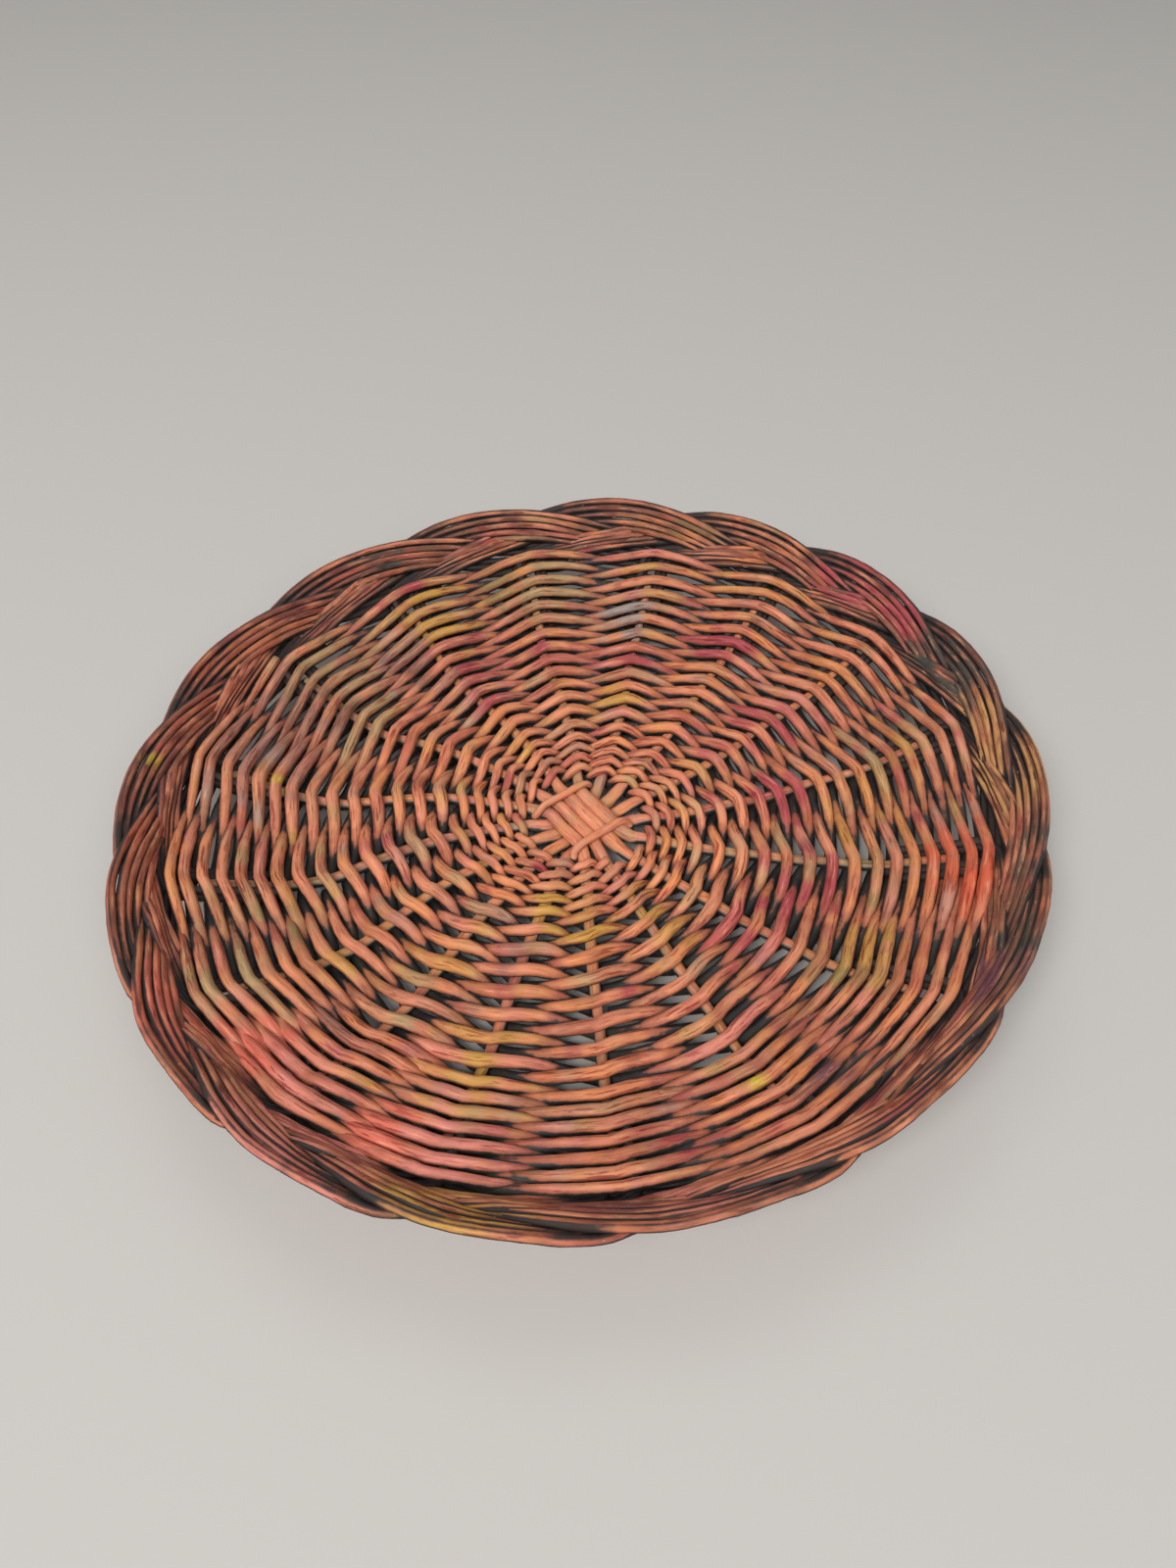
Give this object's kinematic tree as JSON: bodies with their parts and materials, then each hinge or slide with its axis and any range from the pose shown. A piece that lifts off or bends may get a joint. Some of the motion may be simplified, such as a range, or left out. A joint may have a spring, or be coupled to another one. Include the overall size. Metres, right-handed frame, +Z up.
{
  "type": "woven willow tray",
  "caption": "Round shallow tray of painted willow, woven in pairing over spokes that fan out from a bound crossing, with a wide plaited and scalloped border.",
  "frame": {"origin": "centre of the outline, on the surface that the tray rests on", "axes": "+Z up, out of the tray's hollow; +X to the right and -Y towards the viewer of the picture; the upper base sticks of the crossing lie 53.5 degrees clockwise from +X"},
  "size_m": [0.3206, 0.3264, 0.0389],
  "materials": {
    "base_sticks": "chipped matt paint over peeled willow",
    "slath_binding": "matt paint over a thin willow rod",
    "weavers": "layers of coral, crimson, ochre and olive matt paint over willow, worn at the tops",
    "border_stakes": "layers of maroon, salmon, ochre and dark green matt paint over thin willow rods"
  },
  "bodies": {
    "root": {"base_stick_upper_1": "base_sticks", "base_stick_upper_2": "base_sticks", "base_stick_upper_3": "base_sticks", "base_stick_upper_4": "base_sticks", "base_stick_lower_1": "base_sticks", "base_stick_lower_2": "base_sticks", "base_stick_lower_3": "base_sticks", "base_stick_lower_4": "base_sticks", "slath_binding": "slath_binding", "weaver_a_01": "weavers", "weaver_a_02": "weavers", "weaver_a_03": "weavers", "weaver_a_04": "weavers", "weaver_a_05": "weavers", "weaver_a_06": "weavers", "weaver_a_07": "weavers", "weaver_a_08": "weavers", "weaver_b_01": "weavers", "weaver_b_02": "weavers", "weaver_b_03": "weavers", "weaver_b_04": "weavers", "weaver_b_05": "weavers", "weaver_b_06": "weavers", "weaver_b_07": "weavers", "weaver_b_08": "weavers", "border_stakes_01": "border_stakes", "border_stakes_02": "border_stakes", "border_stakes_03": "border_stakes", "border_stakes_04": "border_stakes", "border_stakes_05": "border_stakes", "border_stakes_06": "border_stakes", "border_stakes_07": "border_stakes", "border_stakes_08": "border_stakes", "border_stakes_09": "border_stakes", "border_stakes_10": "border_stakes", "border_stakes_11": "border_stakes", "border_stakes_12": "border_stakes", "border_stakes_13": "border_stakes", "border_stakes_14": "border_stakes", "border_stakes_15": "border_stakes", "border_stakes_16": "border_stakes"}
  },
  "joints": []
}
